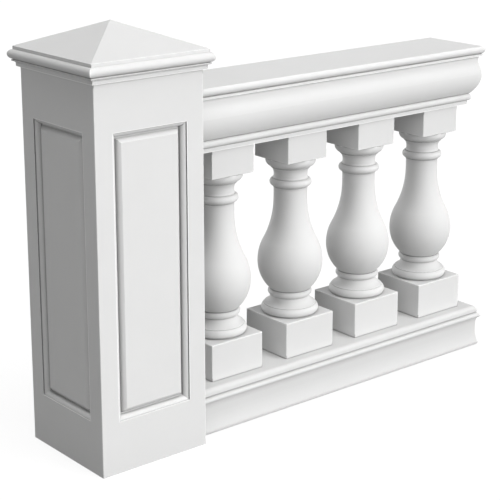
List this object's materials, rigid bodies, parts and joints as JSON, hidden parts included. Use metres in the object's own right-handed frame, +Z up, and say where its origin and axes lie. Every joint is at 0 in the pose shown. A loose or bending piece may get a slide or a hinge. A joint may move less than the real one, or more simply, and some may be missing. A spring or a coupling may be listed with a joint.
{
  "type": "stone balustrade",
  "caption": "Square panelled stone pier with pyramid cap, and one bay of vase balusters between a moulded base rail and coping.",
  "frame": {"origin": "middle of the pier's foot, on the floor", "axes": "+X along the bay from the pier to the free end, -Y towards the front, +Z up"},
  "size_m": [1.654, 0.424, 1.276],
  "materials": {
    "stone": "rubbed matt"
  },
  "bodies": {
    "root": {"pier_shaft": "stone", "pier_cap": "stone", "base_rail": "stone", "coping": "stone", "baluster_1_plinth": "stone", "baluster_1_vase": "stone", "baluster_1_abacus": "stone", "baluster_2_plinth": "stone", "baluster_2_vase": "stone", "baluster_2_abacus": "stone", "baluster_3_plinth": "stone", "baluster_3_vase": "stone", "baluster_3_abacus": "stone", "baluster_4_plinth": "stone", "baluster_4_vase": "stone", "baluster_4_abacus": "stone"}
  },
  "joints": []
}
